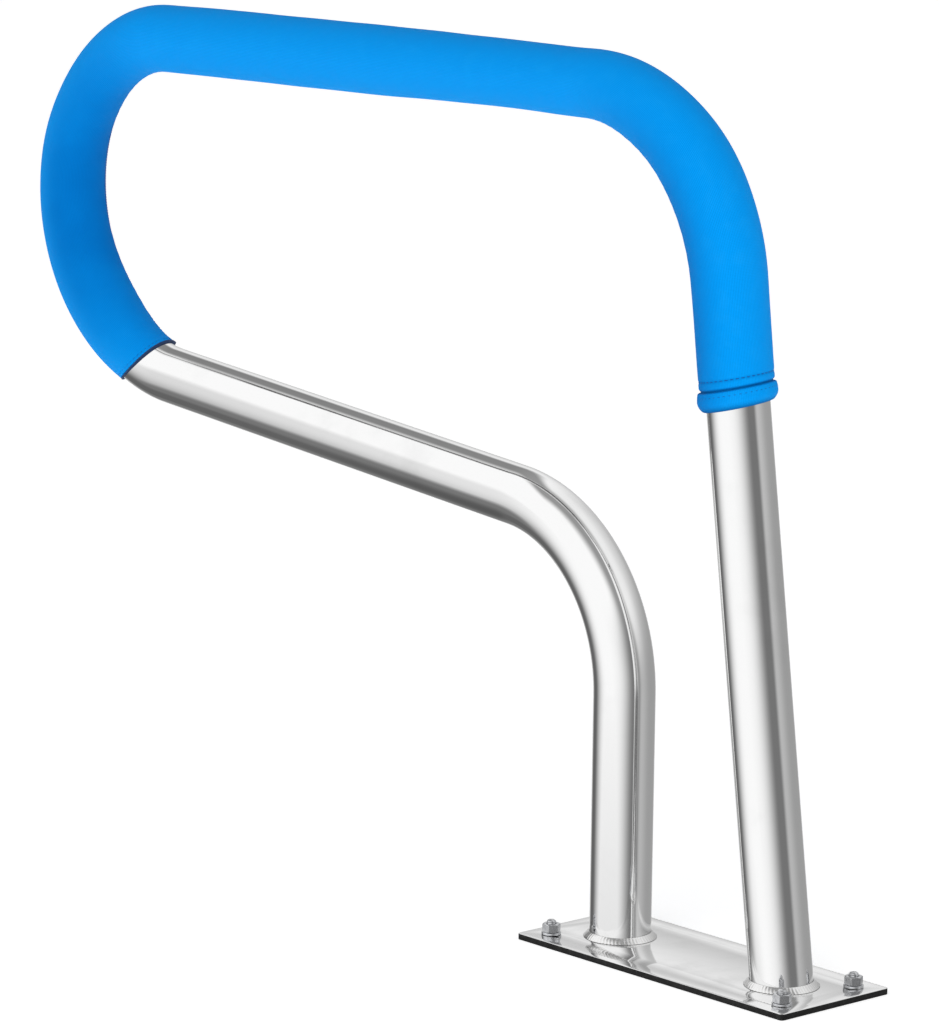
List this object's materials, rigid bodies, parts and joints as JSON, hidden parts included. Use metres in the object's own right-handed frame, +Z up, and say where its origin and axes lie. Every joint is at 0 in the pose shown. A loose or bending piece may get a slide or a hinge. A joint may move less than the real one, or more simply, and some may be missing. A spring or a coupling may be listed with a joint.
{
  "type": "pool handrail",
  "caption": "Deck-mounted pool handrail: bent stainless tube with a long nose loop, padded zipped grip cover, and a rectangular base plate with expansion anchors.",
  "frame": {"origin": "centre of the base plate's underside, on the deck", "axes": "+Z up from the deck; the rail lies in the XZ plane, with its nose towards -X and its rear leg at +X; Y is across the rail"},
  "size_m": [0.768, 0.09, 0.5838],
  "materials": {
    "polished_steel": "polished",
    "weld_steel": "satin",
    "blue_neoprene": "matte",
    "navy_trim": "matte",
    "zip_tape": "matte",
    "zip_teeth": "satin",
    "zip_metal": "satin",
    "anchor_steel": "satin"
  },
  "bodies": {
    "rail": {"base_plate": "polished_steel", "rail_tube": "polished_steel", "weld_front": "weld_steel", "weld_rear": "weld_steel", "grip_cover": "blue_neoprene", "front_binding": "navy_trim", "rear_cuff": "blue_neoprene", "zip_tape_left": "zip_tape", "zip_teeth_left": "zip_teeth", "zip_stop_left": "zip_metal", "zip_tape_right": "zip_tape", "zip_teeth_right": "zip_teeth", "zip_stop_right": "zip_metal", "zip_box": "zip_metal", "anchor_stud_1": "anchor_steel", "anchor_sleeve_1": "anchor_steel", "anchor_washer_1": "anchor_steel", "anchor_nut_1": "anchor_steel", "anchor_stud_2": "anchor_steel", "anchor_sleeve_2": "anchor_steel", "anchor_washer_2": "anchor_steel", "anchor_nut_2": "anchor_steel", "anchor_stud_3": "anchor_steel", "anchor_sleeve_3": "anchor_steel", "anchor_washer_3": "anchor_steel", "anchor_nut_3": "anchor_steel", "anchor_stud_4": "anchor_steel", "anchor_sleeve_4": "anchor_steel", "anchor_washer_4": "anchor_steel", "anchor_nut_4": "anchor_steel"},
    "slider": {"zip_slider": "zip_metal"},
    "pull": {"zip_pull": "zip_metal"}
  },
  "joints": [
    {"name": "zip_slide", "type": "slide", "parent": "rail", "child": "slider", "axis": [-0.1366, 0, 0.9906], "range_m": [0, 0.04]},
    {"name": "pull_hinge", "type": "hinge", "parent": "slider", "child": "pull", "pos_m": [0.00759, 0.02152, 0.36557], "axis": [0.8579, 0.5, 0.1183], "range_deg": [-3.5, 165]}
  ]
}
